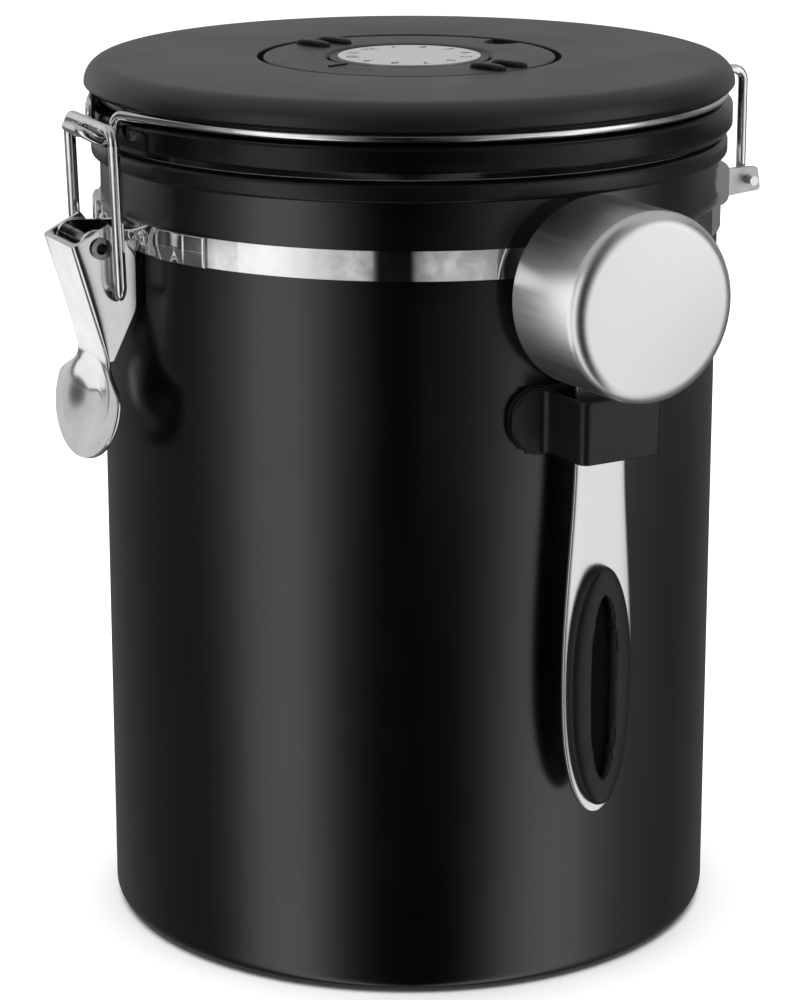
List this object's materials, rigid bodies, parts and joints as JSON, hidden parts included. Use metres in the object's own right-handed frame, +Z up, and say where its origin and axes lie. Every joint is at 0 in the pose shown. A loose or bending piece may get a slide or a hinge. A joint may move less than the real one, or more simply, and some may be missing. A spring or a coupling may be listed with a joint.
{
  "type": "coffee canister with valve",
  "caption": "Cylindrical airtight coffee canister: hinged lid with over-centre wire clasp, turning date dial, one-way vent valve and a scoop clipped to the side.",
  "frame": {"origin": "centre of the flat base", "axes": "+Z up, clasp at -X, lid hinge at +X, scoop near -Y"},
  "size_m": [0.154, 0.1533, 0.1777],
  "materials": {
    "can_black": "satin black coating",
    "collar_black": "smooth black",
    "polished_steel": "polished sheet",
    "bright_wire": "bright drawn wire",
    "lid_matte": "matte dark grey",
    "lid_gloss": "glossy black",
    "seal_rubber": "soft seal",
    "dial_black": "matte black",
    "dial_silver": "satin silver disc",
    "valve_white": "plain moulded",
    "filter_cloth": "fine filter felt",
    "scoop_steel": "brushed",
    "grip_black": "soft black",
    "holder_black": "moulded black",
    "pad_foam": "adhesive foam"
  },
  "bodies": {
    "canister": {"canister_body": "can_black", "mouth_collar": "collar_black", "band_front": "polished_steel", "band_rear": "polished_steel", "clasp_bracket": "polished_steel", "hinge_bracket": "polished_steel", "bracket_rivets": "polished_steel", "lever_eyelet": "polished_steel", "holder_pad": "pad_foam", "scoop_holder": "holder_black"},
    "lid": {"lid_tray": "lid_gloss", "lid_gasket": "seal_rubber", "lid_cover": "lid_matte", "lid_bail": "bright_wire", "dial_hub": "lid_gloss", "dial_face": "dial_silver", "valve_seat": "valve_white", "valve_filter": "filter_cloth", "valve_cap": "valve_white"},
    "lever": {"latch_lever": "polished_steel"},
    "hasp": {"hasp_wire": "bright_wire"},
    "dial": {"date_dial": "dial_black"},
    "valve_flap": {"valve_disc": "seal_rubber"},
    "scoop": {"scoop_cup": "scoop_steel", "scoop_handle": "scoop_steel", "scoop_grip": "grip_black"}
  },
  "joints": [
    {"name": "lid_hinge", "type": "hinge", "parent": "canister", "child": "lid", "pos_m": [0.075, 0, 0.147], "axis": [0, 1, 0], "range_deg": [0, 105]},
    {"name": "lever_pivot", "type": "hinge", "parent": "canister", "child": "lever", "pos_m": [-0.0702, 0, 0.1446], "axis": [0, 1, 0], "range_deg": [0, 115]},
    {"name": "hasp_pivot", "type": "hinge", "parent": "lever", "child": "hasp", "pos_m": [-0.0675, 0, 0.1352], "axis": [0, 1, 0], "range_deg": [-160, 0]},
    {"name": "dial_turn", "type": "hinge", "parent": "lid", "child": "dial", "pos_m": [0, 0, 0.175], "axis": [0, 0, 1], "continuous": true},
    {"name": "valve_lift", "type": "slide", "parent": "lid", "child": "valve_flap", "axis": [0, 0, 1], "range_m": [0, 0.0008]},
    {"name": "scoop_lift", "type": "slide", "parent": "canister", "child": "scoop", "axis": [0, 0, 1], "range_m": [0, 0.095]}
  ],
  "couplings": [
    {"joint": "lever_pivot", "follows": "lid_hinge", "ratio": 1.0952},
    {"joint": "hasp_pivot", "follows": "lid_hinge", "ratio": -1.5238}
  ]
}
